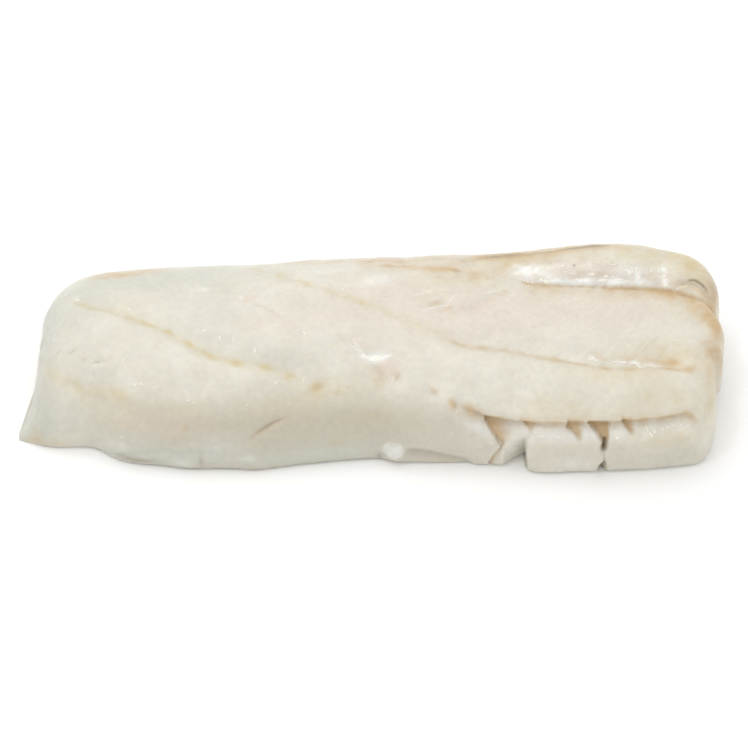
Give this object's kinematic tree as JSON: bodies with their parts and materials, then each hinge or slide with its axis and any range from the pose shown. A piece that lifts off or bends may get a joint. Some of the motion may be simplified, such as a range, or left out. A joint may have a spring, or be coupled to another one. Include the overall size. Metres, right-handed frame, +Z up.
{
  "type": "raw cod fillet",
  "caption": "Thick boneless, skinless raw white fish loin lying flat, with long seams between its muscle bands, a rolled flap along the back edge and gaping flakes at the front.",
  "frame": {"origin": "middle of the bounding box in plan, at the height of the flat underside", "axes": "+X along the fillet from its tapered end to its blunt end, +Y from the front edge with the gaping flakes to the back edge with the rolled flap, +Z up"},
  "size_m": [0.2498, 0.0935, 0.035],
  "materials": {
    "raw_flesh": "wet raw fish flesh: cream white, slightly translucent, softly shiny, tan along the seams"
  },
  "bodies": {
    "root": {"cod_fillet": "raw_flesh"}
  },
  "joints": []
}
